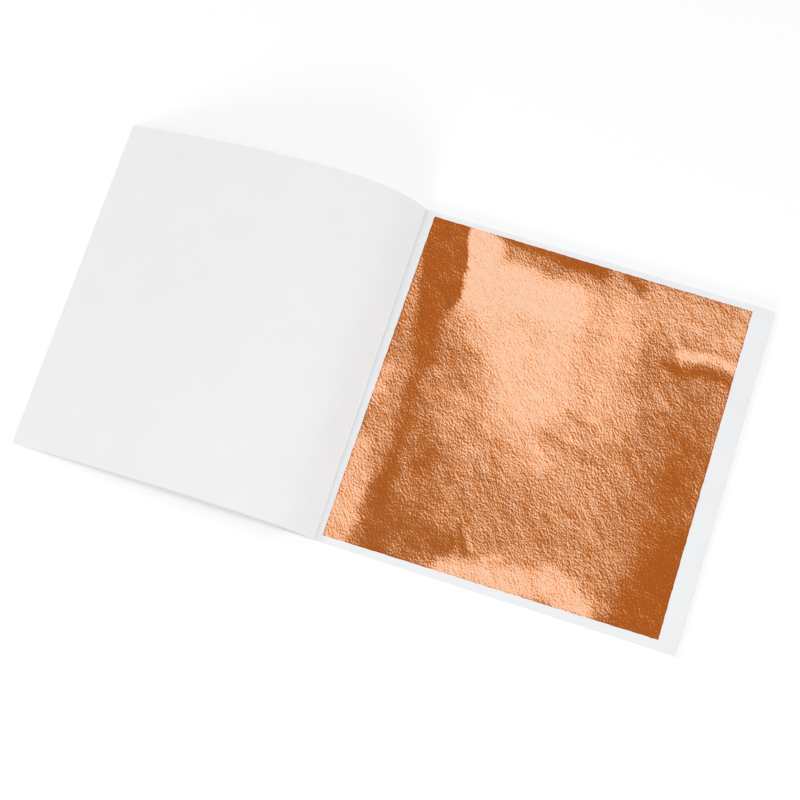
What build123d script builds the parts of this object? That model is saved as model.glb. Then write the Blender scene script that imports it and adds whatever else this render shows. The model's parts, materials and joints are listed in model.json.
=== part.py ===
from build123d import *
import math
import os

# Leaf booklet lying open on a table: X across the pages, Y along the gutter, Z up.
# The origin is on the table, at the middle of the gutter.

# The square sheet of metal leaf on each page. Real leaf is much thinner than this.
leaf_count = 25
leaf_side = 140.0
leaf_thickness = 0.02

# Bare tissue round the leaf on each page.
gutter_margin = 3.5
fore_margin = 8.0
head_margin = 3.0
foot_margin = 4.0
tissue_thickness = 0.06

# The binding: a strip left of the gutter, where all sheets are stapled together.
bound_strip_width = 12.5
tissue_root_length = 3.0
back_card_thickness = 0.5

# The front cover sheet, turned over to the left and arching down to the table.
cover_free_width = 144.0
cover_thickness = 0.15
cover_clearance = 0.15
fold_width_shares = (1 / 12, 1 / 12, 1 / 9, 11 / 72, 17 / 72)
fold_rise_degrees = (57.0, 29.0, 11.0, -1.5, -11.0)

# Two flat wire staples through the bound strip.
staple_span = 12.8
staple_spacing = 76.0
staple_strip_share = 0.5
wire_width = 0.6
wire_thickness = 0.35
wire_clearance = 0.05
foot_length = 4.6
cut_overrun = 1.0

# Sizes that follow from those above.
page_width = gutter_margin + leaf_side + fore_margin
page_height = head_margin + leaf_side + foot_margin
page_pitch = tissue_thickness + leaf_thickness
block_top = back_card_thickness + leaf_count * page_pitch
cover_top = block_top + cover_clearance + cover_thickness
leaf_middle_y = foot_margin + leaf_side / 2 - page_height / 2
bound_width = bound_strip_width + tissue_root_length
staple_x = -bound_strip_width * staple_strip_share
staple_rows = (-staple_spacing / 2, staple_spacing / 2)
leg_offset = (staple_span - wire_thickness) / 2

on_table = (Align.MIN, Align.CENTER, Align.MIN)


def page_level(number):
    """Height of the underside of a page, counted from the top one down."""
    return back_card_thickness + (leaf_count - number) * page_pitch


def leg_holes():
    """Cutters for the staple legs, through every bound sheet."""
    tall = cover_top + 2 * cut_overrun
    across = wire_width + 2 * wire_clearance
    along = wire_thickness + 2 * wire_clearance
    cutter = Box(across, along, tall, align=(Align.CENTER, Align.CENTER, Align.MIN))
    holes = []
    for row in staple_rows:
        for side in (-1, 1):
            holes.append(Pos(staple_x, row + side * leg_offset, -cut_overrun) * cutter)
    return holes


def foot_recesses():
    """Cutters for the shallow dents that the folded staple feet press into the card."""
    across = wire_width + 2 * wire_clearance
    run = foot_length + 2 * wire_clearance
    deep = wire_thickness + wire_clearance + cut_overrun
    dents = []
    for row in staple_rows:
        for side in (-1, 1):
            outer = leg_offset + wire_thickness / 2 + wire_clearance
            middle = row + side * (outer - run / 2)
            dent = Box(across, run, deep, align=(Align.CENTER, Align.CENTER, Align.MIN))
            dents.append(Pos(staple_x, middle, -cut_overrun) * dent)
    return dents


def bound_sheet(width, thickness):
    """One bound end of a sheet, from the spine edge rightwards, with its staple holes."""
    sheet = Pos(-bound_strip_width, 0, 0) * Box(width, page_height, thickness, align=on_table)
    for hole in leg_holes():
        sheet -= hole
    return sheet


def make_back_cover():
    """Card under the whole booklet, with holes and dents for the staples."""
    width = bound_strip_width + page_width
    card = Pos(-bound_strip_width, 0, 0) * Box(width, page_height, back_card_thickness, align=on_table)
    for cutter in leg_holes() + foot_recesses():
        card -= cutter
    return card


def make_bound_stubs():
    """Stapled ends of all the tissue sheets, and of the front cover above them."""
    tissue_end = bound_sheet(bound_width, tissue_thickness)
    cover_end = bound_sheet(bound_strip_width, cover_thickness)
    ends = []
    for number in range(leaf_count, 0, -1):
        ends.append(Pos(0, 0, page_level(number)) * tissue_end)
    ends.append(Pos(0, 0, block_top + cover_clearance) * cover_end)
    return Compound(children=ends)


def make_staple():
    """One closed staple in its own plane: crown above, legs down, feet folded inwards."""
    crown_z = cover_top + wire_thickness / 2
    foot_z = wire_thickness / 2
    foot_end = leg_offset + wire_thickness / 2 - foot_length
    corners = [
        (-foot_end, foot_z),
        (-leg_offset, foot_z),
        (-leg_offset, crown_z),
        (leg_offset, crown_z),
        (leg_offset, foot_z),
        (foot_end, foot_z),
    ]
    path = FilletPolyline(*corners, radius=wire_thickness / 2 + wire_clearance)
    wire = extrude(trace(path, line_width=wire_thickness), amount=wire_width / 2, both=True)
    return Plane.YZ * wire


def make_staples():
    """Both staples, as separate pieces of one group."""
    staple = make_staple()
    placed = []
    for row in staple_rows:
        placed.append(Pos(staple_x, row, 0) * staple)
    return Compound(children=placed)


def make_tissue_page(number):
    """The free panel of one tissue page."""
    width = page_width - tissue_root_length
    panel = Box(width, page_height, tissue_thickness, align=on_table)
    return Pos(tissue_root_length, 0, page_level(number)) * panel


def make_leaf(number):
    """One metal leaf on its tissue page."""
    sheet = Box(leaf_side, leaf_side, leaf_thickness, align=on_table)
    return Pos(gutter_margin, leaf_middle_y, page_level(number) + tissue_thickness) * sheet


def cover_folds():
    """Start, length and rise of each flat stretch of the turned cover, from the gutter out."""
    folds = []
    x = 0.0
    z = cover_top
    left = cover_free_width
    for share, rise in zip(fold_width_shares, fold_rise_degrees):
        length = share * cover_free_width
        folds.append((x, z, length, rise))
        x -= length * math.cos(math.radians(rise))
        z += length * math.sin(math.radians(rise))
        left -= length
    folds.append((x, z, left, -math.degrees(math.asin(z / left))))
    return folds


def make_cover_fold(fold):
    """One flat stretch of the cover, its lower face on the line from its start."""
    x, z, length, rise = fold
    panel = Box(length, page_height, cover_thickness, align=(Align.MAX, Align.CENTER, Align.MIN))
    return Pos(x, 0, z) * Rot(0, rise, 0) * panel


def save(name, shape):
    """Write one piece of the booklet."""
    shape.label = name
    export_step(shape, f"parts/{name}.step")


os.makedirs("parts", exist_ok=True)
save("back_cover", make_back_cover())
save("bound_stubs", make_bound_stubs())
save("staples", make_staples())
for number in range(1, leaf_count + 1):
    save(f"tissue_page_{number:02d}", make_tissue_page(number))
    save(f"leaf_{number:02d}", make_leaf(number))
for place, fold in enumerate(cover_folds(), start=1):
    save(f"front_cover_fold_{place}", make_cover_fold(fold))
    print("fold", place, [round(value, 4) for value in fold])
print("cover top", round(cover_top, 4), "block top", round(block_top, 4), "page", page_width, page_height)
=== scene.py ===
"""Looks of an open booklet of copper-toned metal leaf, dressed round its fixed frame."""
import json
import logging
import math
from dataclasses import dataclass, field
from enum import Enum
from typing import Sequence

import bpy
import bmesh
import numpy as np
from mathutils import Matrix, Vector


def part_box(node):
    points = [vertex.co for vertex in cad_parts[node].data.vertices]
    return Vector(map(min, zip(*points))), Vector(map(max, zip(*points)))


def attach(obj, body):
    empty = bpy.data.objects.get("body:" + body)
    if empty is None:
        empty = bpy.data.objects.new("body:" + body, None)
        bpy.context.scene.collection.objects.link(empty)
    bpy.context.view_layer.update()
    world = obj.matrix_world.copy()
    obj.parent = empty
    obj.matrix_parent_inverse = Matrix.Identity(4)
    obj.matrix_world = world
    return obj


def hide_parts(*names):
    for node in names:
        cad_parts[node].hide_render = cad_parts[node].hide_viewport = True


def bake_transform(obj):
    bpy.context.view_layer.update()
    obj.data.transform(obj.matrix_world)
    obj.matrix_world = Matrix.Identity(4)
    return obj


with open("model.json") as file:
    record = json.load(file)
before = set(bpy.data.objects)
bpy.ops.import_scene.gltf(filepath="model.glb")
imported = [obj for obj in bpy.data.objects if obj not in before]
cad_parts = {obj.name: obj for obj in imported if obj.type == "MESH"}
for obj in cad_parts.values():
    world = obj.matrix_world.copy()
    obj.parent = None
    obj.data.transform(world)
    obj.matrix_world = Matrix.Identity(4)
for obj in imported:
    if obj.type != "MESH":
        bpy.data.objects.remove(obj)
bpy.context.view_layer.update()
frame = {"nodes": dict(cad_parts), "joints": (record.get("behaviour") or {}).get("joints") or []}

Piece = bpy.types.Object
Material = bpy.types.Material
Tree = bpy.types.NodeTree
Node = bpy.types.Node
Socket = bpy.types.NodeSocket
Colour = tuple[float, float, float]
Place = tuple[float, float, float]
Profile = list[tuple[float, float]]

log = logging.getLogger("leaf booklet")

MM = 0.001
# How near to a sheet's edge a point counts as the edge's, and how near two points count as one.
CLOSE = 0.01 * MM
SAME_POINT = 0.0001 * MM

# The fibre of paper: how much longer it is along the gutter, and the broad clouds mixed into it.
FIBRE_STRETCH = (1.0, 0.28, 1.0)
FIBRE_CLOUD_FREQUENCY = 0.04
FIBRE_CLOUD_SHARE = 0.65

# The grain of the leaf: where its light box lies, from which side light is painted on the grain's slopes, and
# how the grain runs.
LEAF_BRIGHT_SIDE = Vector((0.349, 0.937, 0.0)).normalized()
LEAF_PAINTED_LIGHT_SIDE = Vector((0.62, 0.785, 0.0)).normalized()
LEAF_SLOPE_STEP = 0.15 * MM
LEAF_GRAIN_TURN = (0.0, 0.0, math.radians(-50))
LEAF_GRAIN_STRETCH = (1.18, 1.0, 1.0)
LEAF_DENT_FREQUENCY = 0.17
LEAF_DENT_SHARE = 1.3
# Dark zones get a calmer painted grain shade.
LEAF_CALMED_BELOW = 0.3
LEAF_CALMEST = 0.4


class Slot(Enum):
    """The record's material slots; the script lists them but gives them to no piece."""

    PAGE_PAPER = "page_paper"
    COVER_PAPER = "cover_paper"
    METAL_LEAF = "metal_leaf"


# Bench work: selecting, drawing sheets out, thickening and smoothing them.


def clear_selection() -> None:
    """Deselects every object, so that the next operator acts on one piece alone."""
    bpy.ops.object.select_all(action="DESELECT")


def take(piece: Piece) -> None:
    """Makes one piece the only selected and active object.

    Args:
        piece: The object that the next operators act on.
    """
    clear_selection()
    piece.select_set(True)
    bpy.context.view_layer.objects.active = piece


def open_mesh(piece: Piece, selects: str) -> None:
    """Opens a piece in edit mode, with nothing selected.

    Args:
        piece: The object to edit.
        selects: What is selected from then on, VERT or EDGE.
    """
    take(piece)
    bpy.ops.object.mode_set(mode="EDIT")
    bpy.ops.mesh.select_mode(type=selects)
    bpy.ops.mesh.select_all(action="DESELECT")


def grid_piece(name: str, low: Vector, high: Vector, across: int, along: int) -> Piece:
    """Adds a flat grid at its size and place, with its place in its mesh.

    Args:
        name: The piece's name.
        low: Its lowest corner.
        high: Its highest corner, at the same height.
        across: Number of faces along X.
        along: Number of faces along Y.

    Returns:
        The new object, at the origin.
    """
    clear_selection()
    bpy.ops.mesh.primitive_grid_add(x_subdivisions=across, y_subdivisions=along, size=1.0)
    piece = bpy.context.active_object
    piece.name = name
    piece.data.name = name
    size = Vector((high.x - low.x, high.y - low.y, 1.0))
    piece.data.transform(Matrix.Translation((low + high) / 2) @ Matrix.Diagonal(size).to_4x4())
    return piece


def drawn_sheet(name: str, profile: Profile, low_y: float, high_y: float, rows: int) -> Piece:
    """Draws a sheet out along a profile, by extruding its last edge step by step.

    Args:
        name: The piece's name.
        profile: Points (x, z) in metres, in order.
        low_y: Where the sheet begins along the gutter.
        high_y: Where it ends.
        rows: Number of faces along the gutter.

    Returns:
        The new object, a single layer of faces, at the origin.
    """
    first, second = profile[0], profile[1]
    piece = grid_piece(name, Vector((-0.5, low_y, 0.0)), Vector((0.5, high_y, 0.0)), 1, rows)
    for vertex in piece.data.vertices:
        vertex.co.x, vertex.co.z = first if vertex.co.x < 0 else second
    open_mesh(piece, "VERT")
    shape = bmesh.from_edit_mesh(piece.data)
    for vertex in shape.verts:
        vertex.select = abs(vertex.co.x - second[0]) + abs(vertex.co.z - second[1]) < SAME_POINT
    shape.select_flush(True)
    bmesh.update_edit_mesh(piece.data)
    for before, after in zip(profile[1:], profile[2:]):
        step = (after[0] - before[0], 0.0, after[1] - before[1])
        bpy.ops.mesh.extrude_edges_move(TRANSFORM_OT_translate={"value": step})
    bpy.ops.object.mode_set(mode="OBJECT")
    return piece


def thicken(piece: Piece, thickness: float) -> None:
    """Gives a single layer of faces its thickness, half to each side.

    Args:
        piece: The sheet.
        thickness: Its full thickness in metres.
    """
    wall = piece.modifiers.new("thickness", "SOLIDIFY")
    wall.thickness = thickness
    wall.offset = 0.0
    wall.use_even_offset = True
    take(piece)
    bpy.ops.object.modifier_apply(modifier=wall.name)


def displace(piece: Piece, name: str, grain: float, height: float) -> None:
    """Moves a surface up and down by a cloudy relief, and applies it.

    Args:
        piece: The object to shape.
        name: Name of the relief.
        grain: Size of its features in metres.
        height: How far it moves the surface between its lowest and highest value.
    """
    relief = bpy.data.textures.new(name, "CLOUDS")
    relief.noise_scale = grain
    relief.noise_depth = 1
    move = piece.modifiers.new(name, "DISPLACE")
    move.texture = relief
    move.texture_coords = "LOCAL"
    move.direction = "Z"
    move.mid_level = 0.5
    move.strength = height
    take(piece)
    bpy.ops.object.modifier_apply(modifier=move.name)


def smooth(piece: Piece, angle: float = math.radians(40)) -> None:
    """Shades a piece smooth, apart from edges sharper than an angle.

    Args:
        piece: The object to shade.
        angle: The sharpest edge that is still smoothed.
    """
    take(piece)
    bpy.ops.object.shade_smooth_by_angle(angle=angle)


def points_of(piece: Piece) -> np.ndarray:
    """Reads a piece's points.

    Args:
        piece: The object.

    Returns:
        Rows of x, y and z.
    """
    points = np.empty(len(piece.data.vertices) * 3)
    piece.data.vertices.foreach_get("co", points)
    return points.reshape(-1, 3)


def set_points(piece: Piece, points: np.ndarray) -> None:
    """Puts a piece's points in new places.

    Args:
        piece: The object to shape.
        points: Rows of x, y and z.
    """
    piece.data.vertices.foreach_set("co", points.astype(np.float32).ravel())
    piece.data.update()


def trim_edge(piece: Piece, edge: float, reach: float, shift: float) -> None:
    """Draws one straight edge of a sheet in by a little, as a guillotined stack has it.

    Args:
        piece: The sheet.
        edge: Where the edge lies on X.
        reach: How near to it a point counts as the edge's.
        shift: How far the edge moves on X.
    """
    points = points_of(piece)
    points[np.abs(points[:, 0] - edge) < reach, 0] += shift
    set_points(piece, points)


def copy_of(piece: Piece, name: str, rise: float) -> Piece:
    """Copies a piece with its own mesh, at another height.

    Args:
        piece: The object to copy.
        name: The copy's name.
        rise: How far the copy lies above the first one.

    Returns:
        The copy, at the origin.
    """
    double = piece.copy()
    double.data = piece.data.copy()
    double.name = name
    double.data.name = name
    double.data.transform(Matrix.Translation((0.0, 0.0, rise)))
    bpy.context.scene.collection.objects.link(double)
    return double


def dress(piece: Piece, material: Material) -> None:
    """Gives a piece one material all over.

    Args:
        piece: The object to dress.
        material: Its finish.
    """
    piece.data.materials.clear()
    piece.data.materials.append(material)


def eased(share: float | np.ndarray) -> float | np.ndarray:
    """Lets a share from 0 to 1 start and end softly."""
    return share * share * (3 - 2 * share)


# Node work: small helpers for the procedural finishes.


def add_node(tree: Tree, kind: str, values: dict | None = None, **settings: object) -> Node:
    """Adds a shader node, with some of its inputs and settings.

    Args:
        tree: The node tree.
        kind: The node's type name, without the words ShaderNode before it.
        values: What goes into its inputs, by name or number. A socket is linked.
        settings: Values for its own properties.

    Returns:
        The node.
    """
    node = tree.nodes.new("ShaderNode" + kind)
    for key, value in settings.items():
        setattr(node, key, value)
    for key, value in (values or {}).items():
        if isinstance(value, Socket):
            tree.links.new(value, node.inputs[key])
        else:
            node.inputs[key].default_value = value
    return node


def maths(tree: Tree, operation: str, first: Socket | float, second: Socket | float) -> Socket:
    """Adds one sum, product or other calculation, and returns its result."""
    return add_node(tree, "Math", {0: first, 1: second}, operation=operation).outputs[0]


def object_place(tree: Tree) -> Socket:
    """Adds the place on the object that a pattern follows."""
    return add_node(tree, "TexCoord").outputs["Object"]


@dataclass(frozen=True)
class NoiseLook:
    """How fine, rough and distorted a noise is."""

    detail: float
    roughness: float
    distortion: float = 0.0

    def add(self, tree: Tree, place: Socket, scale: Socket | float) -> Socket:
        """Adds the noise to a tree.

        Args:
            tree: The node tree.
            place: The place that it follows.
            scale: How many features it has in a metre.

        Returns:
            Its value, from 0 to 1.
        """
        values = {"Vector": place, "Scale": scale, "Detail": self.detail, "Roughness": self.roughness}
        values["Distortion"] = self.distortion
        return add_node(tree, "TexNoise", values).outputs["Fac"]


FINE_FIBRE = NoiseLook(detail=4.0, roughness=0.6)
FIBRE_CLOUD = NoiseLook(detail=3.0, roughness=0.5)
LEAF_GRAIN = NoiseLook(detail=1.5, roughness=0.5, distortion=0.3)
LEAF_DENTS = NoiseLook(detail=1.0, roughness=0.5)
LEAF_CLOUD = NoiseLook(detail=2.0, roughness=0.5)
WIRE_MARKS = NoiseLook(detail=3.0, roughness=0.6)


def colour_ramp(tree: Tree, tone: Socket, stops: Sequence[tuple[float, Colour]]) -> Socket:
    """Turns a tone into a colour.

    Args:
        tree: The node tree.
        tone: The tone.
        stops: Tones from low to high, each with its colour.

    Returns:
        The colour.
    """
    ramp = add_node(tree, "ValToRGB", {"Fac": tone})
    marks = ramp.color_ramp.elements
    for mark, (position, colour) in zip((marks[0], marks[1]), (stops[0], stops[-1])):
        mark.position = position
        mark.color = (*colour, 1.0)
    for position, colour in stops[1:-1]:
        marks.new(position).color = (*colour, 1.0)
    return ramp.outputs["Color"]


def relief_normal(tree: Tree, height: Socket, distance: float = 1.0, surface: Socket | None = None) -> Socket:
    """Turns a height into a surface direction.

    Args:
        tree: The node tree.
        height: The height.
        distance: What one unit of it is in metres.
        surface: The direction that the relief lies on, where it isn't the mesh's own.

    Returns:
        The direction.
    """
    values = {"Strength": 1.0, "Distance": distance, "Height": height}
    if surface is not None:
        values["Normal"] = surface
    return add_node(tree, "Bump", values).outputs["Normal"]


def new_material(name: str) -> tuple[Material, Tree]:
    """Makes a material that has no nodes yet.

    Args:
        name: The material's name.

    Returns:
        The material and its node tree.
    """
    material = bpy.data.materials.new(name)
    material.use_nodes = True
    material.node_tree.nodes.clear()
    return material, material.node_tree


def shown(material: Material, shader: Socket) -> Material:
    """Ends a material with what its surface shows, and returns it."""
    add_node(material.node_tree, "OutputMaterial", {"Surface": shader})
    return material


def principled(material: Material, values: dict) -> Material:
    """Ends a material with one Principled shader, and returns it."""
    return shown(material, add_node(material.node_tree, "BsdfPrincipled", values).outputs["BSDF"])


def new_group(name: str, inputs: dict[str, float], outputs: Sequence[str]) -> tuple[Tree, Sequence[Socket]]:
    """Makes an empty shader node group with number sockets.

    Args:
        name: The group's name.
        inputs: Input names with their default values.
        outputs: Output names.

    Returns:
        The group's tree and the values that go into it.
    """
    tree = bpy.data.node_groups.new(name, "ShaderNodeTree")
    for key, value in inputs.items():
        socket = tree.interface.new_socket(name=key, in_out="INPUT", socket_type="NodeSocketFloat")
        socket.default_value = value
    for key in outputs:
        tree.interface.new_socket(name=key, in_out="OUTPUT", socket_type="NodeSocketFloat")
    return tree, tree.nodes.new("NodeGroupInput").outputs


def close_group(tree: Tree, results: dict[str, Socket]) -> Tree:
    """Links a group's results to its outputs.

    Args:
        tree: The group's tree.
        results: The results by output name.

    Returns:
        The same tree.
    """
    end = tree.nodes.new("NodeGroupOutput")
    for key, value in results.items():
        tree.links.new(value, end.inputs[key])
    return tree


def paper_fibre_group() -> Tree:
    """Builds the fibre that every paper here shows, once.

    Returns:
        A group that gives a tone from 0 to 1 and a height in metres.
    """
    inputs = {"Fibre size": 0.6 * MM, "Fibre depth": 0.01 * MM}
    tree, given = new_group("paper fibre", inputs, ("Tone", "Height"))
    place = object_place(tree)
    stretched = add_node(tree, "Mapping", {"Vector": place, "Scale": FIBRE_STRETCH}).outputs["Vector"]
    frequency = maths(tree, "DIVIDE", 1.0, given["Fibre size"])
    fine = FINE_FIBRE.add(tree, stretched, frequency)
    cloud = FIBRE_CLOUD.add(tree, place, maths(tree, "MULTIPLY", frequency, FIBRE_CLOUD_FREQUENCY))
    cloud_share = maths(tree, "MULTIPLY", cloud, FIBRE_CLOUD_SHARE)
    fine_share = maths(tree, "MULTIPLY", fine, 1 - FIBRE_CLOUD_SHARE)
    tone = maths(tree, "ADD", cloud_share, fine_share)
    height = maths(tree, "MULTIPLY", fine, given["Fibre depth"])
    return close_group(tree, {"Tone": tone, "Height": height})


def crinkle_group() -> Tree:
    """Builds the fine crinkle of beaten metal leaf, once.

    The grain is long in one direction. A second, broader layer gives soft dents. Shade is painted into the
    tone of the metal by the slope of both towards one fixed side, so a grain is painted deeper in colour
    where it leans away from that side's light. Dark zones get a calmer painted grain shade.

    Returns:
        A group that adds painted grain shade to a broad tone, and gives a height in metres.
    """
    inputs = {"Tone": 0.5, "Grain size": 1.0 * MM, "Grain depth": 0.04 * MM, "Grain painted shade": 10.0}
    tree, given = new_group("leaf crinkle", inputs, ("Tone", "Height"))
    place = object_place(tree)
    step = LEAF_PAINTED_LIGHT_SIDE * LEAF_SLOPE_STEP
    ahead = add_node(tree, "VectorMath", {0: place, 1: step}, operation="ADD").outputs["Vector"]
    frequency = maths(tree, "DIVIDE", 1.0, given["Grain size"])
    heights = []
    for spot in (place, ahead):
        turn = {"Vector": spot, "Rotation": LEAF_GRAIN_TURN, "Scale": LEAF_GRAIN_STRETCH}
        turned = add_node(tree, "Mapping", turn, vector_type="TEXTURE").outputs["Vector"]
        grain = LEAF_GRAIN.add(tree, turned, frequency)
        dents = LEAF_DENTS.add(tree, turned, maths(tree, "MULTIPLY", frequency, LEAF_DENT_FREQUENCY))
        together = maths(tree, "ADD", grain, maths(tree, "MULTIPLY", dents, LEAF_DENT_SHARE))
        heights.append(maths(tree, "MULTIPLY", together, given["Grain depth"]))
    rise = maths(tree, "SUBTRACT", heights[1], heights[0])
    slope = maths(tree, "DIVIDE", rise, LEAF_SLOPE_STEP)
    calming = {"Value": given["Tone"], "From Min": 0.0, "From Max": LEAF_CALMED_BELOW, "To Min": LEAF_CALMEST}
    calm = add_node(tree, "MapRange", calming).outputs["Result"]
    # Painted shade: the tone is lowered where the grain slopes away from the side of the painted light, less
    # in dark zones.
    shade = maths(tree, "MULTIPLY", slope, maths(tree, "MULTIPLY", given["Grain painted shade"], calm))
    return close_group(tree, {"Tone": maths(tree, "SUBTRACT", given["Tone"], shade), "Height": heights[0]})


@dataclass(frozen=True)
class PaperFinish:
    """An uncoated paper or card: its colour and the fibre that shows in it, darker in random clouds and, as a
    small painted shade, in the fine fibre's hollows.
    """

    name: str
    colour: Colour
    mottle_and_hollow_shade_colour: Colour
    fibre_size: float
    fibre_depth: float
    roughness: float
    gloss: float = 0.3
    mottle_and_hollow_shade_tone: float = 0.36
    full_tone: float = 0.62

    def material(self, fibre: Tree) -> Material:
        """Makes the paper's material.

        Args:
            fibre: The shared fibre group.

        Returns:
            The material.
        """
        material, tree = new_material(self.name)
        fibres = {"Fibre size": self.fibre_size, "Fibre depth": self.fibre_depth}
        shows = add_node(tree, "Group", fibres, node_tree=fibre).outputs
        # Painted shade, in part: the darker colour follows random clouds and partly the fine fibre's relief,
        # so the fibre's hollows are painted a little darker.
        stops = ((self.mottle_and_hollow_shade_tone, self.mottle_and_hollow_shade_colour), (self.full_tone, self.colour))
        values = {"Roughness": self.roughness, "Specular IOR Level": self.gloss}
        values["Base Color"] = colour_ramp(tree, shows["Tone"], stops)
        values["Normal"] = relief_normal(tree, shows["Height"])
        return principled(material, values)


@dataclass(frozen=True)
class LeafFinish:
    """Beaten copper-toned leaf: its tones of metal, from a deep colour where shade is painted to a pale one
    where a highlight is painted, and its fine crinkle.

    A shaped leaf carries its painted reflection tone and its lean as attributes. A plain one takes its tone
    from noise, at random.
    """

    name: str
    shaped: bool
    deep_and_shade_colour: Colour
    middle_colour: Colour
    pale_and_highlight_colour: Colour
    grain_size: float
    grain_depth: float
    grain_painted_shade: float
    roughness: float
    deep_and_shade_tone: float = 0.08
    middle_tone: float = 0.5
    pale_and_highlight_tone: float = 0.92
    cloud_frequency: float = 0.03
    cloud_low: float = 0.36
    cloud_high: float = 0.64
    thrown_colour: float = 0.2

    def material(self, crinkle: Tree) -> Material:
        """Makes the leaf's material.

        Args:
            crinkle: The shared crinkle group.

        Returns:
            The material.
        """
        material, tree = new_material(self.name)
        if self.shaped:
            # The painted reflection of the shaped leaf, as its broad tone.
            tone = add_node(tree, "Attribute", attribute_name=MetalLeaf.PAINTED_REFLECTION).outputs["Fac"]
            surface = self.leaning_normal(tree)
        else:
            tone = self.cloudy_tone(tree)
            surface = None
        grains = {"Tone": tone, "Grain size": self.grain_size, "Grain depth": self.grain_depth}
        grains["Grain painted shade"] = self.grain_painted_shade
        shows = add_node(tree, "Group", grains, node_tree=crinkle).outputs
        tones = (self.deep_and_shade_tone, self.middle_tone, self.pale_and_highlight_tone)
        colours = (self.deep_and_shade_colour, self.middle_colour, self.pale_and_highlight_colour)
        colour = colour_ramp(tree, shows["Tone"], tuple(zip(tones, colours)))
        values = {"Metallic": 1.0, "Roughness": self.roughness}
        values["Base Color"] = self.paler_as_light(tree, colour)
        values["Normal"] = relief_normal(tree, shows["Height"], surface=surface)
        return principled(material, values)

    def cloudy_tone(self, tree: Tree) -> Socket:
        """Adds the broad, cloudy tone of a leaf that has no strokes.

        Args:
            tree: The material's tree.

        Returns:
            The tone, from 0 to 1.
        """
        cloud = LEAF_CLOUD.add(tree, object_place(tree), self.cloud_frequency / self.grain_size)
        spread = {"Value": cloud, "From Min": self.cloud_low, "From Max": self.cloud_high}
        return add_node(tree, "MapRange", spread).outputs["Result"]

    def paler_as_light(self, tree: Tree, colour: Socket) -> Socket:
        """Takes most of the colour out of the light that the leaf throws on the paper beside it.

        Args:
            tree: The material's tree.
            colour: The leaf's colour.

        Returns:
            The colour, unchanged wherever the leaf itself is seen.
        """
        thrown = add_node(tree, "LightPath").outputs["Is Diffuse Ray"]
        share = add_node(tree, "MapRange", {"Value": thrown, "To Min": 1.0, "To Max": self.thrown_colour})
        paler = {"Saturation": share.outputs["Result"], "Color": colour}
        return add_node(tree, "HueSaturation", paler).outputs["Color"]

    def leaning_normal(self, tree: Tree) -> Socket:
        """Adds the leaf's painted lean to its surface direction, for folds too shallow to model.

        Args:
            tree: The material's tree.

        Returns:
            The surface direction.
        """
        lean = add_node(tree, "Attribute", attribute_name=MetalLeaf.LEAN).outputs["Vector"]
        spaces = {"vector_type": "VECTOR", "convert_from": "OBJECT", "convert_to": "WORLD"}
        turned = add_node(tree, "VectorTransform", {"Vector": lean}, **spaces).outputs["Vector"]
        surface = add_node(tree, "NewGeometry").outputs["Normal"]
        added = add_node(tree, "VectorMath", {0: surface, 1: turned}, operation="ADD").outputs["Vector"]
        return add_node(tree, "VectorMath", {0: added}, operation="NORMALIZE").outputs["Vector"]


@dataclass(frozen=True)
class WireFinish:
    """Drawn steel staple wire, with fine marks along it."""

    name: str
    colour: Colour
    mark_size: float
    mark_depth: float
    roughness: float
    mark_stretch: Place = (1.0, 0.05, 1.0)
    least_dull: float = 0.7
    most_dull: float = 1.4

    def material(self) -> Material:
        """Makes the wire's material.

        Returns:
            The material.
        """
        material, tree = new_material(self.name)
        drawn = add_node(tree, "Mapping", {"Vector": object_place(tree), "Scale": self.mark_stretch})
        marks = WIRE_MARKS.add(tree, drawn.outputs["Vector"], 1.0 / self.mark_size)
        dull = {"Value": marks, "To Min": self.roughness * self.least_dull}
        dull["To Max"] = self.roughness * self.most_dull
        values = {"Metallic": 1.0, "Base Color": (*self.colour, 1.0)}
        values["Roughness"] = add_node(tree, "MapRange", dull).outputs["Result"]
        values["Normal"] = relief_normal(tree, marks, self.mark_depth)
        return principled(material, values)


@dataclass
class FrameSizes:
    """Sizes and places that the fixed frame gives, in metres.

    The cover sheet is as thick as the free height that it leaves over the top leaf when it is closed.
    """

    leaf_count: int = field(init=False)
    joints: dict[str, dict] = field(init=False)
    gutter: Vector = field(init=False)
    cover_turn: float = field(init=False)
    spine: float = field(init=False)
    foot: float = field(init=False)
    head: float = field(init=False)
    tissue: float = field(init=False)
    cover: float = field(init=False)

    def __post_init__(self) -> None:
        """Reads the boxes and joints of the frame."""
        self.joints = {joint["name"]: joint for joint in frame["joints"]}
        self.leaf_count = sum(name.startswith("leaf_") for name in frame["nodes"])
        self.gutter = Vector(self.joints["cover_turn"]["pos_m"])
        self.cover_turn = math.radians(self.joints["cover_turn"]["range_deg"][1])
        card_low, card_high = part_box("back_cover")
        self.spine, self.foot, self.head = card_low.x, card_low.y, card_high.y
        low, high = self.page(1)
        self.tissue = high.z - low.z
        self.cover = (self.gutter.z - self.leaf(1)[1].z) / 2

    def page(self, number: int) -> tuple[Vector, Vector]:
        """Returns the box of a page's free panel."""
        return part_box(f"tissue_page_{number:02d}")

    def leaf(self, number: int) -> tuple[Vector, Vector]:
        """Returns the box of a metal leaf."""
        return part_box(f"leaf_{number:02d}")


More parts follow.
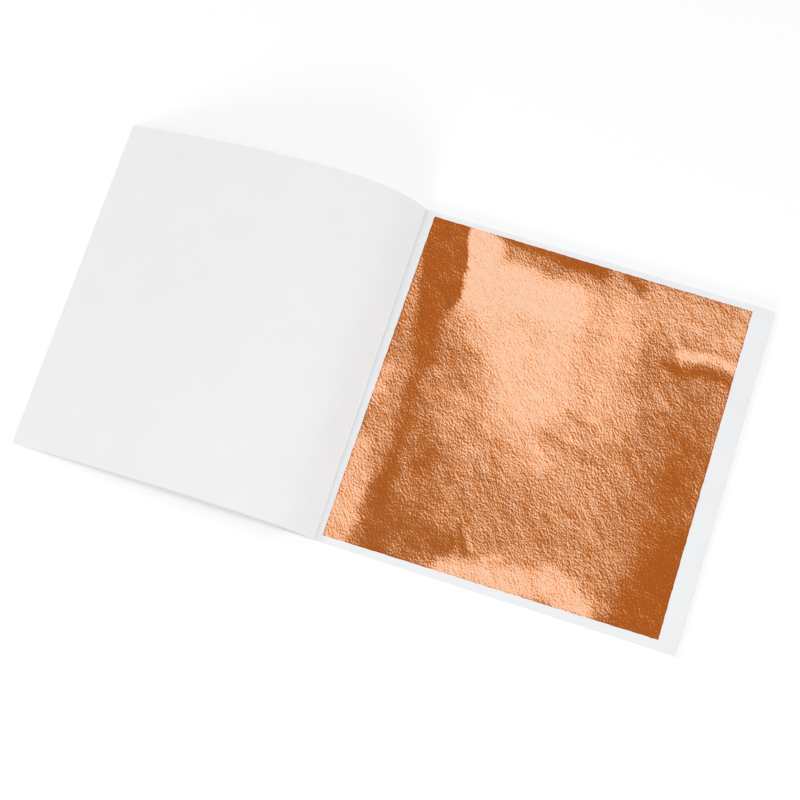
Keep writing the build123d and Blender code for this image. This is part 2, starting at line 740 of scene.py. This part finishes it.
@dataclass
class TurnedCover:
    """The front cover sheet: creased at the gutter, turned left and arched down to the table."""

    sizes: FrameSizes
    paper: Material
    crease_reach: float = 0.9 * MM
    stub_reach: float = 1.5 * MM
    stub_share: float = 1 / 3
    steps: int = 22
    rows: int = 48
    halvings: int = 40
    crease_tail: tuple[float, ...] = (0.3, 0.65, 1.0)
    far_tail: tuple[float, ...] = (0.5, 1.0)

    def fold_lines(self) -> list[Vector]:
        """Finds the fold lines from the gutter out, and the far edge last.

        Returns:
            The lines as points at y = 0.
        """
        joints = self.sizes.joints
        count = sum(name.startswith("cover_bend_") for name in joints)
        lines = [self.sizes.gutter]
        lines += [Vector(joints[f"cover_bend_{number}"]["pos_m"]) for number in range(2, count + 2)]
        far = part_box(f"front_cover_fold_{count + 1}")[0]
        log.info("cover: %d folds, last one from x %.1f mm", count + 1, lines[-1].x / MM)
        lines.append(Vector((far.x, 0.0, far.z)))
        return lines

    def crease_direction(self) -> Vector:
        """Returns the direction midway between the bound strip's and the turned sheet's."""
        half = self.sizes.cover_turn / 2
        return Vector((math.cos(half), 0.0, math.sin(half)))

    def crease_point(self, run: float, angle: float) -> Vector:
        """Turns a point of the closed sheet's middle layer back about the gutter.

        Args:
            run: How far from the gutter it lies.
            angle: How far it is turned.

        Returns:
            Where it comes to lie.
        """
        along = Vector((math.cos(angle), 0.0, math.sin(angle)))
        across = Vector((-math.sin(angle), 0.0, math.cos(angle)))
        return self.sizes.gutter + run * along - self.sizes.cover / 2 * across

    def crease_angle(self, run: float) -> float:
        """Finds by halving how far a point is turned, where its share of the turn grows with its reach.

        Args:
            run: How far from the gutter it lies.

        Returns:
            Its angle.
        """
        if run <= 0:
            return 0.0
        low, high = 0.0, self.sizes.cover_turn
        for _ in range(self.halvings):
            guess = (low + high) / 2
            reached = (self.crease_point(run, guess) - self.sizes.gutter).dot(self.crease_direction())
            share = min(max(reached / self.crease_reach, 0.0), 1.0)
            low, high = (guess, high) if self.sizes.cover_turn * eased(share) > guess else (low, guess)
        return (low + high) / 2

    def crease_profile(self, middle: Vector) -> Profile:
        """Works out the tight fold at the gutter.

        In the closed cover the sheet runs straight on from the bound strip. Each point is turned back
        about the gutter by its share of the cover's turn, so the fold flattens when the cover closes.

        Args:
            middle: The middle of the first fold, where the crease piece ends.

        Returns:
            The profile of the sheet's middle layer, from the strip to the first fold.
        """
        reach = self.crease_reach / math.cos(self.sizes.cover_turn / 2)
        full = (middle - self.sizes.gutter).length
        runs = [-self.stub_reach, -self.stub_reach * self.stub_share, 0.0]
        runs += [reach * number / self.steps for number in range(1, self.steps + 1)]
        runs += [reach + (full - reach) * share for share in self.crease_tail]
        points = [self.crease_point(run, self.crease_angle(run)) for run in runs]
        return [(point.x, point.z) for point in points]

    def bend_profile(self, first: Vector, corner: Vector, last: Vector) -> Profile:
        """Rounds one fold line off into a curve that touches the middle of both folds.

        Args:
            first: The middle of the fold before the line.
            corner: The fold line.
            last: The middle of the fold after the line.

        Returns:
            The profile of the sheet's middle layer.
        """
        points = []
        for number in range(self.steps + 1):
            share = number / self.steps
            on_curve = first * (1 - share) ** 2 + corner * (2 * share * (1 - share)) + last * share**2
            tangent = ((corner - first) * (1 - share) + (last - corner) * share).normalized()
            point = on_curve + self.sizes.cover / 2 * Vector((tangent.z, 0.0, -tangent.x))
            points.append((point.x, point.z))
        return points

    def add_stretch(self, name: str, profile: Profile, number: int) -> None:
        """Models one stretch of the sheet, and hides the frame's fold that it stands for.

        Args:
            name: The stretch's name.
            profile: Its middle layer.
            number: The number of the fold that it stands for.
        """
        piece = drawn_sheet(name, profile, self.sizes.foot, self.sizes.head, self.rows)
        thicken(piece, self.sizes.cover)
        smooth(piece)
        dress(piece, self.paper)
        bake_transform(piece)
        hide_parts(f"front_cover_fold_{number}")
        log.info("cover stretch %s: %d points", name, len(piece.data.vertices))

    def build(self) -> None:
        """Builds the crease and the five bends."""
        lines = self.fold_lines()
        middles = [(before + after) / 2 for before, after in zip(lines, lines[1:])]
        self.add_stretch("cover_crease", self.crease_profile(middles[0]), 1)
        for number in range(2, len(middles) + 1):
            first, corner, last = middles[number - 2], lines[number - 1], middles[number - 1]
            name = f"cover_bend_{number}"
            profile = self.bend_profile(first, corner, last)
            if number == len(middles):
                name = "cover_far_stretch"
                run = lines[-1] - last
                x, z = profile[-1]
                profile += [(x + run.x * share, z + run.z * share) for share in self.far_tail]
            self.add_stretch(name, profile, number)


@dataclass
class BoundStrip:
    """The bound ends of all the sheets, left of the gutter, held by two wire staples."""

    sizes: FrameSizes
    tissue_paper: Material
    cover_paper: Material
    wire: Material
    rows: int = 8
    trim_spread: float = 0.12 * MM
    trim_seed: int = 25

    def flat_end(self, name: str, middle: float, end: float, thickness: float) -> Piece:
        """Models one flat bound end, from the spine rightwards.

        Args:
            name: Its name.
            middle: Height of its middle layer.
            end: Where it ends on X.
            thickness: Its full thickness.

        Returns:
            The new object.
        """
        profile = [(self.sizes.spine, middle), (end, middle)]
        sheet = drawn_sheet(name, profile, self.sizes.foot, self.sizes.head, self.rows)
        thicken(sheet, thickness)
        return sheet

    def build(self, crease_start: float) -> None:
        """Builds the stack of bound ends, and dresses the staples.

        Args:
            crease_start: Where the cover's own crease piece takes over from its bound end.
        """
        tissue, cover = self.sizes.tissue, self.sizes.cover
        levels = [self.sizes.page(number)[0].z for number in range(self.sizes.leaf_count, 0, -1)]
        first = self.flat_end("bound_end", levels[0] + tissue / 2, 0.0, tissue)
        dress(first, self.tissue_paper)
        draw = np.random.default_rng(self.trim_seed)
        ends = []
        for place, level in enumerate(levels):
            end = copy_of(first, f"bound_end_{place + 1:02d}", level - levels[0]) if place else first
            trim = self.trim_spread * draw.random()
            trim_edge(end, self.sizes.spine, trim + CLOSE, trim)
            ends.append(end)
        cover_end = self.flat_end("bound_cover_end", self.sizes.gutter.z - cover / 2, crease_start, cover)
        dress(cover_end, self.cover_paper)
        take(first)
        for end in ends:
            end.select_set(True)
        bpy.ops.object.join()
        first.name = "bound_tissue_ends"
        smooth(first)
        smooth(cover_end)
        for piece, slot in ((first, Slot.PAGE_PAPER), (cover_end, Slot.COVER_PAPER)):
            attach(piece, "binding")
            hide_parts("bound_stubs")
        dress(frame["nodes"]["staples"], self.wire)
        log.info("bound strip: %d tissue ends", len(ends))


@dataclass
class TissuePages:
    """The free part of every tissue page, finely divided at its root by the gutter."""

    sizes: FrameSizes
    paper: Material
    root_length: float = 3.2 * MM
    root_steps: int = 12
    free_shares: tuple[float, ...] = (0.25, 0.5, 0.75, 0.95, 1.0)
    rows: int = 24
    trim_spread: float = 0.15 * MM
    trim_seed: int = 7

    def build(self) -> None:
        """Models one page, copies it to every level with its fore edge trimmed a little, and hides the
        frame's pages.
        """
        low, high = self.sizes.page(1)
        draw = np.random.default_rng(self.trim_seed)
        runs = [self.root_length * number / self.root_steps for number in range(self.root_steps + 1)]
        free = high.x - self.root_length
        runs += [self.root_length + free * share for share in self.free_shares]
        middle = (low.z + high.z) / 2
        first = drawn_sheet("page_01", [(run, middle) for run in runs], low.y, high.y, self.rows)
        thicken(first, self.sizes.tissue)
        smooth(first)
        dress(first, self.paper)
        for number in range(1, self.sizes.leaf_count + 1):
            name = f"page_{number:02d}"
            level = self.sizes.page(number)[0].z - low.z
            page = first
            if number > 1:
                page = copy_of(first, name, level)
                trim_edge(page, high.x, CLOSE, -self.trim_spread * draw.random())
            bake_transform(page)
            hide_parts(f"tissue_page_{number:02d}")
        log.info("pages: %d sheets", self.sizes.leaf_count)


@dataclass(frozen=True)
class Stroke:
    """One soft stroke on the leaf: a path in mm from its gutter and foot edges.

    The amount is a tone of painted reflection where the stroke paints, and a height in mm where it is a
    wrinkle.
    """

    path: tuple[tuple[float, float], ...]
    radius: float
    fade: float
    amount: float

    def weight(self, u: np.ndarray, v: np.ndarray) -> np.ndarray:
        """Says how fully the stroke holds at each place.

        Args:
            u: Distances from the gutter edge in mm.
            v: Distances from the foot edge in mm.

        Returns:
            Weights from 0 to 1.
        """
        nearest = np.full(u.shape, np.inf)
        for (u1, v1), (u2, v2) in zip(self.path, self.path[1:]):
            du, dv = u2 - u1, v2 - v1
            share = np.clip(((u - u1) * du + (v - v1) * dv) / (du**2 + dv**2), 0.0, 1.0)
            nearest = np.minimum(nearest, np.hypot(u - u1 - share * du, v - v1 - share * dv))
        return eased(np.clip((self.radius + self.fade / 2 - nearest) / self.fade, 0.0, 1.0))


@dataclass(frozen=True)
class SoftCloud:
    """A soft cloudy value over the leaf: the size of its clouds in mm, its strength and its seed."""

    size: float
    reach: float
    seed: int
    knots: int = 64
    start: float = 8.0

    def value(self, u: np.ndarray, v: np.ndarray, later: int = 0) -> np.ndarray:
        """Gives the cloud's value at each place of the leaf.

        Args:
            u: Distances from the gutter edge in mm.
            v: Distances from the foot edge in mm.
            later: How many seeds later the cloud is.

        Returns:
            Values from minus to plus its reach.
        """
        knots = np.random.default_rng(self.seed + later).uniform(-1.0, 1.0, (self.knots, self.knots))
        across, along = u / self.size + self.start, v / self.size + self.start
        column, row = np.floor(across), np.floor(along)
        right, up = eased(across - column), eased(along - row)
        column, row = column.astype(int) % (self.knots - 2), row.astype(int) % (self.knots - 2)
        below = knots[column, row] * (1 - right) + knots[column + 1, row] * right
        above = knots[column, row + 1] * (1 - right) + knots[column + 1, row + 1] * right
        return self.reach * (below * (1 - up) + above * up)


# The folds of the leaf that are both modelled as wrinkles and painted into its colour as painted highlights
# and painted shadows.
FOOT_FOLD = ((55, 19), (59, 11))
FOOT_CREASE_AND_GLINT = ((65, 9), (71, 12))
MIDDLE_FOLD = ((58, 68), (68, 61), (78, 53))
MIDDLE_CREASE = ((79, 78), (91, 72))
FORE_HOLLOW = ((111, 107), (118, 105), (128, 108), (142, 107))
FORE_FOLD = ((117, 112.5), (128, 115.5), (142, 113.5))
FORE_CREASE = ((112, 120), (117, 114), (117, 109))

# Painted reflection: each stroke paints the leaf's tone. A low tone is painted deep, as the dim ceiling
# mirrored in it. A high tone is painted pale, as the light box mirrored in it. The same tone sets the leaf's
# lean, so part of this light is also mirrored for real.
PAINTED_REFLECTION_STROKES = (
    Stroke(((126, 96), (128, 76)), 10, 20, 0.3),
    Stroke(((131, 72), (132, 0)), 12, 22, 0.12),
    Stroke(((112, 100), (114, 45)), 5, 16, 0.32),
    Stroke(((140, 30), (134, -2)), 13, 16, -0.04),
    Stroke(((27, 62), (33, 8)), 8, 18, 0.2),
    Stroke(((32, 12), (48, 10)), 6, 12, 0.12),
    Stroke(((40, 64), (92, 50)), 12, 20, 0.54),
    Stroke(((52, 31), (98, 29)), 7, 18, 0.4),
    Stroke(((88, 122), (90, 82)), 11, 22, 0.8),
    Stroke(((34, 112), (46, 100), (61, 76)), 12, 20, 1.06),
    Stroke(((66, 116), (68, 86)), 11, 22, 1.04),
    Stroke(((22, 136), (27, 118), (40, 120), (64, 119)), 9, 8, 1.26),
    Stroke(((102, 130), (141, 129)), 11, 12, 0.64),
    Stroke(((7, 145), (9, 128)), 8.5, 1.8, 0.0),
    Stroke(((9, 128), (12.5, 112)), 9.5, 2.6, 0.0),
    Stroke(((12, 112), (14.5, 84)), 6, 8, 0.03),
    Stroke(((14.5, 84), (16, 50), (18, 20)), 3.5, 7, 0.08),
    Stroke(((18, 22), (22, -4)), 6, 10, 0.08),
    Stroke(((1, 84), (3, 48)), 4, 8, 0.44),
    Stroke(((0, 72), (1, 60)), 3, 4, 0.7),
    Stroke(((0, 37), (3, 24), (4, -3)), 6.5, 4.5, 0.78),
    Stroke(((29, 142.5), (45, 140), (62, 139.5), (75, 138.5)), 3.6, 6, -0.02),
    Stroke(((87, 140), (94, 135)), 2, 5, 0.12),
    Stroke(((50, -2), (66, 2), (82, 5), (96, 7), (106, 1)), 6, 7, 0.98),
    Stroke(((92, 13), (101, 11)), 2.5, 6, 0.9),
    Stroke(FOOT_CREASE_AND_GLINT, 1.5, 4, 0.85),
    Stroke(((52, 20), (57, 9)), 1, 4, 0.05),
    Stroke(FOOT_FOLD, 0.6, 3, 0.75),
    Stroke(MIDDLE_FOLD, 1.6, 7, 0.95),
    Stroke(((80, 69), (88, 65)), 0.8, 4, 0.85),
    Stroke(MIDDLE_CREASE, 0.8, 4, 0.36),
    Stroke(((73, 67), (79, 63)), 0.8, 4, 0.4),
    Stroke(((103, 114), (104, 103)), 2, 7, 0.32),
    Stroke(((111, 97), (115, 92)), 1, 4, 0.62),
    Stroke(FORE_HOLLOW, 2.2, 5, 0.06),
    Stroke(FORE_FOLD, 2.3, 3.6, 0.97),
    Stroke(FORE_CREASE, 0.8, 3.4, 0.85),
    Stroke(((19.5, 122), (22, 112), (27, 104)), 0.5, 1.8, 0.75),
)

LEAF_RIDGES = (
    Stroke(FORE_FOLD, 0.6, 3.4, 0.035),
    Stroke(FORE_HOLLOW, 1, 4, -0.02),
    Stroke(FORE_CREASE, 0.4, 2.6, 0.025),
    Stroke(MIDDLE_FOLD, 0.6, 4, 0.025),
    Stroke(MIDDLE_CREASE, 0.4, 2.8, 0.02),
    Stroke(FOOT_FOLD, 0.4, 2.6, 0.03),
    Stroke(FOOT_CREASE_AND_GLINT, 0.5, 2.8, 0.02),
    Stroke(((17, 136), (16.5, 124), (19, 110)), 0.5, 3, 0.025),
    Stroke(((87, 140), (94, 133)), 0.5, 3, 0.025),
    Stroke(((82, 138), (86, 130)), 0.4, 2.6, 0.02),
    Stroke(((103, 116), (104, 101)), 0.6, 3.6, -0.02),
    Stroke(((5, 62), (9, 40), (9, 20)), 0.8, 4, 0.02),
)


@dataclass
class MetalLeaf:
    """The top leaf of crinkled metal, with reflection painted into its colour, and the finish of those below
    it.
    """

    PAINTED_REFLECTION = "leaf_painted_reflection"
    LEAN = "leaf_lean"

    sizes: FrameSizes
    top_metal: Material
    lower_metal: Material
    cells: int = 300
    broad_grain: float = 14.0 * MM
    broad_height: float = 0.05 * MM
    fine_grain: float = 1.3 * MM
    fine_height: float = 0.03 * MM
    smooth_below: float = math.radians(60)
    # Tones of the painted reflection: where it rests, its middle, and beyond which the painted dark and light
    # zones need less lean.
    rest_tone: float = 0.42
    middle_tone: float = 0.5
    dark_tone: float = 0.25
    light_tone: float = 0.75
    wavering: tuple[SoftCloud, ...] = (SoftCloud(9.0, 1.2, 3), SoftCloud(3.5, 0.8, 5))
    mottling: tuple[SoftCloud, ...] = (SoftCloud(11.0, 0.07, 11), SoftCloud(4.5, 0.06, 12))
    mottle_slant: float = 0.6
    edge_width: float = 0.6
    edge_painted_shade: float = 0.4
    edge_play: float = 0.1 * MM
    edge_knots: int = 100
    edge_cells: int = 2
    edge_seed: int = 140
    head_left: tuple[float, float] = (1.2, 1.0)
    head_right: tuple[float, float] = (-0.7, 0.3)
    foot_left: tuple[float, float] = (-0.5, -1.2)

    def build(self) -> None:
        """Models the top leaf, and dresses those that lie in the stack."""
        low, high = self.sizes.leaf(1)
        corners = [Vector((corner.x, corner.y, low.z + self.broad_height)) for corner in (low, high)]
        leaf = grid_piece("top_leaf", *corners, self.cells, self.cells)
        displace(leaf, "broad swell", self.broad_grain, self.broad_height)
        displace(leaf, "fine crinkle", self.fine_grain, self.fine_height)
        points = points_of(leaf)
        u = (points[:, 0] - low.x) / MM
        v = (points[:, 1] - low.y) / MM
        for ridge in LEAF_RIDGES:
            points[:, 2] += ridge.amount * MM * ridge.weight(u, v)
        side = (high.x - low.x) / MM
        tone = self.paint_reflection_tone(u, v, side)
        # The painted reflection and the lean are kept on the leaf for its material.
        layer = leaf.data.attributes.new(self.PAINTED_REFLECTION, "FLOAT", "POINT")
        layer.data.foreach_set("value", tone.astype(np.float32))
        layer = leaf.data.attributes.new(self.LEAN, "FLOAT_VECTOR", "POINT")
        layer.data.foreach_set("vector", self.leans(points, tone, low.z).ravel())
        self.cut_by_hand(points, u / side, v / side)
        set_points(leaf, points)
        self.close_underside(leaf, low.z)
        smooth(leaf, self.smooth_below)
        dress(leaf, self.top_metal)
        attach(leaf, "loose_leaf")
        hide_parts("leaf_01")
        for number in range(2, self.sizes.leaf_count + 1):
            dress(frame["nodes"][f"leaf_{number:02d}"], self.lower_metal)
        log.info("top leaf: %d points", len(leaf.data.vertices))

    def paint_reflection_tone(self, u: np.ndarray, v: np.ndarray, side: float) -> np.ndarray:
        """Lays the strokes on the leaf: the reflection painted into its colour at each place, which also sets
        its lean.

        Args:
            u: Distances from the gutter edge in mm.
            v: Distances from the foot edge in mm.
            side: The leaf's side in mm.

        Returns:
            Tones of painted reflection, about 0 where the metal mirrors the dim ceiling and about 1 for the
            light box.
        """
        u_drawn, v_drawn = u.copy(), v.copy()
        for cloud in self.wavering:
            u_drawn += cloud.value(u, v)
            v_drawn += cloud.value(u, v, 1)
        tone = np.full(len(u), self.rest_tone)
        for stroke in PAINTED_REFLECTION_STROKES:
            tone += stroke.weight(u_drawn, v_drawn) * (stroke.amount - tone)
        for cloud in self.mottling:
            tone += cloud.value(u + self.mottle_slant * v, v - self.mottle_slant * u)
        # Painted shade along the edges: the tone is drawn darker within edge_width of them.
        inwards = np.minimum(np.minimum(u, side - u), np.minimum(v, side - v))
        return tone - self.edge_painted_shade * np.clip(1 - inwards / self.edge_width, 0.0, 1.0)

    def leans(self, points: np.ndarray, tone: np.ndarray, level: float) -> np.ndarray:
        """Works out which way the leaf leans at each place, as its shallow folds do.

        A lean makes the surface mirror the light box or the dim ceiling beside it. The tone says which of
        the two, and the lean follows from where the leaf, the camera's usual place and the light box's
        edge are.

        Args:
            points: The leaf's points.
            tone: Their tones.
            level: Height of the leaf.

        Returns:
            What is added to the surface direction.
        """
        eye = np.array(Studio.camera_place)
        drop = Studio.ceiling_height - level
        reach = drop / (eye[2] - level)
        bright_side = np.array(LEAF_BRIGHT_SIDE[:2])
        mirrored = points[:, :2] * (1 + reach) - eye[:2] * reach
        found = (mirrored - np.array(Studio.box_edge)) @ bright_side
        wanted = (tone - self.middle_tone) * Studio.box_blur
        bright = np.clip((tone - self.light_tone) / (1 - self.light_tone), 0, 1)
        dark = np.clip((self.dark_tone - tone) / self.dark_tone, 0, 1)
        lean = (wanted - found) / (2 * drop) * (1 - np.where(found > wanted, bright, dark))
        vectors = np.zeros((len(points), 3), np.float32)
        vectors[:, :2] = lean[:, None] * bright_side
        return vectors

    def cut_by_hand(self, points: np.ndarray, u: np.ndarray, v: np.ndarray) -> None:
        """Draws the leaf a little out of square, with edges that aren't quite straight.

        Args:
            points: The leaf's points, which are moved.
            u: Their places from the gutter edge at 0 to the fore edge at 1.
            v: Their places from the foot edge at 0 to the head edge at 1.
        """
        pulls = (self.head_left, self.head_right, self.foot_left)
        shares = ((1 - u) * v, u * v, (1 - u) * (1 - v))
        for (right, up), share in zip(pulls, shares):
            points[:, 0] += share * right * MM
            points[:, 1] += share * up * MM
        draw = np.random.default_rng(self.edge_seed)
        knots = np.linspace(0.0, 1.0, self.edge_knots)
        for axis, along, at_end in ((0, v, u), (0, v, 1 - u), (1, u, v), (1, u, 1 - v)):
            wander = np.interp(along, knots, draw.uniform(-1.0, 1.0, self.edge_knots))
            near = np.clip(1 - at_end * self.cells / self.edge_cells, 0.0, 1.0)
            points[:, axis] += self.edge_play * wander * near

    def close_underside(self, leaf: Piece, floor: float) -> None:
        """Closes the leaf below, down to the page that it lies on.

        Args:
            leaf: The crinkled upper face.
            floor: Height of the page.
        """
        open_mesh(leaf, "EDGE")
        bpy.ops.mesh.select_non_manifold(extend=False)
        bpy.ops.mesh.extrude_edges_move(TRANSFORM_OT_translate={"value": (0.0, 0.0, 0.0)})
        shape = bmesh.from_edit_mesh(leaf.data)
        for vertex in shape.verts:
            if vertex.select:
                vertex.co.z = floor
        bmesh.update_edit_mesh(leaf.data)
        bpy.ops.mesh.edge_face_add()
        bpy.ops.object.mode_set(mode="OBJECT")


@dataclass(frozen=True)
class Lamp:
    """A soft square lamp that faces the booklet: its place, its power in watts and its side."""

    name: str
    place: Place
    power: float
    side: float = 0.4

    def hang(self) -> Piece:
        """Adds the lamp, turned to the booklet.

        Returns:
            The lamp's object.
        """
        light = bpy.data.lights.new(self.name, "AREA")
        light.energy = self.power
        light.shape = "SQUARE"
        light.size = self.side
        stand = bpy.data.objects.new(self.name, light)
        stand.location = self.place
        stand.rotation_euler = (-Vector(self.place)).to_track_quat("-Z", "Y").to_euler()
        bpy.context.scene.collection.objects.link(stand)
        return stand


@dataclass
class Studio:
    """A plain white table under soft light, and the camera over it."""

    table_side: float = 12.0
    table_share: float = 0.56
    table_glow: float = 0.3
    table_return: float = 0.32
    fade_start: float = 0.25
    fade_end: float = 0.9
    far_level: float = 1.0
    near_level: float = 0.5
    ceiling_height: float = 1.3
    ceiling_gap: float = 0.02
    ceiling_side: float = 1.7
    ceiling_level: float = 0.45
    box_edge: tuple[float, float] = (0.026, 0.24)
    box_blur: float = 0.24
    box_size: tuple[float, float] = (1.3, 0.8)
    box_level: float = 1.08
    lamps: tuple[Lamp, ...] = (
        Lamp("left lamp", (-0.85, 0.1, 0.85), 3.4),
        Lamp("right lamp", (1.0, -0.1, 0.7), 3.9),
        Lamp("front lamp", (-0.1, -1.1, 0.5), 5.0),
    )
    table_lamp: Lamp = Lamp("table lamp", (-0.05, -0.05, 1.2), 4.1, 0.11)
    camera_place: Place = (97.93 * MM, -117.12 * MM, 623.38 * MM)
    camera_aim: Place = (24.1 * MM, -1.7 * MM, 2.5 * MM)
    camera_roll: float = math.radians(18.377)
    sensor: float = 36.0
    lens: float = 69.39
    shift: tuple[float, float] = (-0.0307, -0.0105)

    def build(self) -> None:
        """Builds the table, the light and the camera."""
        table = self.build_table()
        self.build_surround()
        self.build_ceiling()
        for lamp in self.lamps:
            lamp.hang()
        self.light_only(self.table_lamp.hang(), table)
        self.build_camera()
        bpy.context.scene.view_settings.view_transform = "Standard"

    def level(self, tree: Tree, as_light: float, as_seen: float) -> Socket:
        """Adds a level that differs between light and what is seen directly, mirrored or through glass.

        Args:
            tree: The node tree.
            as_light: The level as light.
            as_seen: The level where it is seen.

        Returns:
            The level.
        """
        path = add_node(tree, "LightPath").outputs
        seen = path["Is Camera Ray"]
        for name in ("Is Glossy Ray", "Is Transmission Ray"):
            seen = maths(tree, "MAXIMUM", seen, path[name])
        values = {"Value": seen, "To Min": as_light, "To Max": as_seen}
        return add_node(tree, "MapRange", values).outputs["Result"]

    def glow(self, tree: Tree, level: Socket | float) -> Socket:
        """Adds a white glow of a level, where 1 is white, and returns it."""
        return add_node(tree, "Emission", {"Strength": level}).outputs["Emission"]

    def build_table(self) -> Piece:
        """Lays a wide matt table top under the booklet, which keeps the booklet's shadow.

        Far off it fades into the white surround, so that no horizon shows.

        Returns:
            The table top.
        """
        corner = Vector((self.table_side / 2, self.table_side / 2, 0.0))
        table = grid_piece("table", -corner, corner, 2, 2)
        material, tree = new_material("matt white table")
        share = self.table_share
        matt = add_node(tree, "BsdfDiffuse", {"Color": (share, share, share, 1.0)}).outputs["BSDF"]
        near = self.glow(tree, self.level(tree, self.table_return, self.table_glow))
        far = self.glow(tree, self.level(tree, self.near_level, self.far_level))
        both = add_node(tree, "AddShader", {0: matt, 1: near}).outputs["Shader"]
        distance = add_node(tree, "VectorMath", {0: object_place(tree)}, operation="LENGTH").outputs["Value"]
        fading = {"Value": distance, "From Min": self.fade_start, "From Max": self.fade_end}
        fade = add_node(tree, "MapRange", fading, interpolation_type="SMOOTHSTEP").outputs["Result"]
        whole = add_node(tree, "MixShader", {"Fac": fade, 1: both, 2: far}).outputs["Shader"]
        dress(table, shown(material, whole))
        return table

    def build_surround(self) -> None:
        """Sets the white surround, dimmer as light than as background."""
        world = bpy.data.worlds.new("white surround")
        world.use_nodes = True
        tree = world.node_tree
        background = tree.nodes["Background"].inputs
        background["Color"].default_value = (1.0, 1.0, 1.0, 1.0)
        tree.links.new(self.level(tree, self.near_level, self.far_level), background["Strength"])
        bpy.context.scene.world = world

    def hang_card(self, name: str, centre: Vector, size: Sequence[float], turn: float, level: float) -> None:
        """Hangs a flat card that gives an even light of its own.

        Args:
            name: The card's name.
            centre: Its middle.
            size: Its two sides.
            turn: Its turn about the vertical.
            level: How bright it is, where 1 is white.
        """
        corner = Vector((size[0] / 2, size[1] / 2, 0.0))
        card = grid_piece(name, -corner, corner, 1, 1)
        card.data.transform(Matrix.Translation(centre) @ Matrix.Rotation(turn, 4, "Z"))
        material, tree = new_material(name)
        dress(card, shown(material, self.glow(tree, level)))

    def build_ceiling(self) -> None:
        """Hangs a dim ceiling over the table, with a light box that the leaf mirrors."""
        sides = (self.ceiling_side, self.ceiling_side)
        edge = Vector((*self.box_edge, self.ceiling_height))
        above = Vector((*self.box_edge, self.ceiling_height + self.ceiling_gap))
        self.hang_card("dim_ceiling", above, sides, 0.0, self.ceiling_level)
        turn = math.atan2(-LEAF_BRIGHT_SIDE.x, LEAF_BRIGHT_SIDE.y)
        middle = edge + LEAF_BRIGHT_SIDE * self.box_size[1] / 2
        self.hang_card("light_box", middle, self.box_size, turn, self.box_level)

    def light_only(self, stand: Piece, piece: Piece) -> None:
        """Keeps a lamp's light on one piece alone, and the lamp out of what metal mirrors.

        Args:
            stand: The lamp.
            piece: The piece that it lights.
        """
        lit = bpy.data.collections.new(stand.name)
        lit.objects.link(piece)
        stand.light_linking.receiver_collection = lit
        stand.visible_glossy = False

    def build_camera(self) -> None:
        """Places the camera as the photograph's was."""
        data = bpy.data.cameras.new("camera")
        data.sensor_width = self.sensor
        data.lens = self.lens
        data.shift_x, data.shift_y = self.shift
        camera = bpy.data.objects.new("camera", data)
        place, aim = Vector(self.camera_place), Vector(self.camera_aim)
        backward = (place - aim).normalized()
        right = Vector((0.0, 1.0, 0.0)).cross(backward).normalized()
        facing = Matrix((right, backward.cross(right), backward)).transposed().to_4x4()
        camera.matrix_world = Matrix.Translation(place) @ facing @ Matrix.Rotation(self.camera_roll, 4, "Z")
        bpy.context.scene.collection.objects.link(camera)
        bpy.context.scene.camera = camera


TISSUE = PaperFinish(
    name="white tissue",
    colour=(0.86, 0.867, 0.877),
    mottle_and_hollow_shade_colour=(0.835, 0.844, 0.858),
    fibre_size=0.5 * MM,
    fibre_depth=0.006 * MM,
    roughness=0.85,
)
COVER_SHEET = PaperFinish(
    name="white cover paper",
    colour=(0.872, 0.872, 0.872),
    mottle_and_hollow_shade_colour=(0.858, 0.858, 0.858),
    fibre_size=0.6 * MM,
    fibre_depth=0.005 * MM,
    roughness=0.8,
)
BACK_CARD = PaperFinish(
    name="white card",
    colour=(0.84, 0.84, 0.835),
    mottle_and_hollow_shade_colour=(0.80, 0.80, 0.795),
    fibre_size=0.9 * MM,
    fibre_depth=0.012 * MM,
    roughness=0.9,
)
# Painted reflection: the deep colour stands for the dim ceiling mirrored in the leaf and the pale one for the
# light box, painted into the metal's colour.
TOP_LEAF = LeafFinish(
    name="crinkled copper leaf",
    shaped=True,
    deep_and_shade_colour=(0.86, 0.205, 0.032),
    middle_colour=(0.955, 0.36, 0.093),
    pale_and_highlight_colour=(0.90, 0.555, 0.38),
    grain_size=0.86 * MM,
    grain_depth=0.056 * MM,
    grain_painted_shade=20.0,
    roughness=0.12,
)
# The stacked leaves share the ramp: their deep and pale zones are random clouds, with the same painted grain
# shade.
STACKED_LEAF = LeafFinish(
    name="stacked copper leaf",
    shaped=False,
    deep_and_shade_colour=(0.80, 0.24, 0.055),
    middle_colour=(0.90, 0.39, 0.16),
    pale_and_highlight_colour=(0.90, 0.54, 0.37),
    grain_size=1.1 * MM,
    grain_depth=0.045 * MM,
    grain_painted_shade=10.0,
    roughness=0.14,
)
STAPLE_WIRE = WireFinish(
    name="drawn steel wire",
    colour=(0.62, 0.63, 0.65),
    mark_size=0.05 * MM,
    mark_depth=0.004 * MM,
    roughness=0.3,
)


def main() -> None:
    """Builds the finishes, then every sub-assembly in order."""
    logging.basicConfig(level=logging.INFO, format="%(name)s: %(message)s")
    sizes = FrameSizes()
    fibre = paper_fibre_group()
    crinkle = crinkle_group()
    tissue = TISSUE.material(fibre)
    cover_sheet = COVER_SHEET.material(fibre)
    dress(frame["nodes"]["back_cover"], BACK_CARD.material(fibre))
    cover = TurnedCover(sizes, cover_sheet)
    cover.build()
    BoundStrip(sizes, tissue, cover_sheet, STAPLE_WIRE.material()).build(-cover.stub_reach)
    TissuePages(sizes, tissue).build()
    MetalLeaf(sizes, TOP_LEAF.material(crinkle), STACKED_LEAF.material(crinkle)).build()
    Studio().build()


if __name__ == "__main__":
    main()
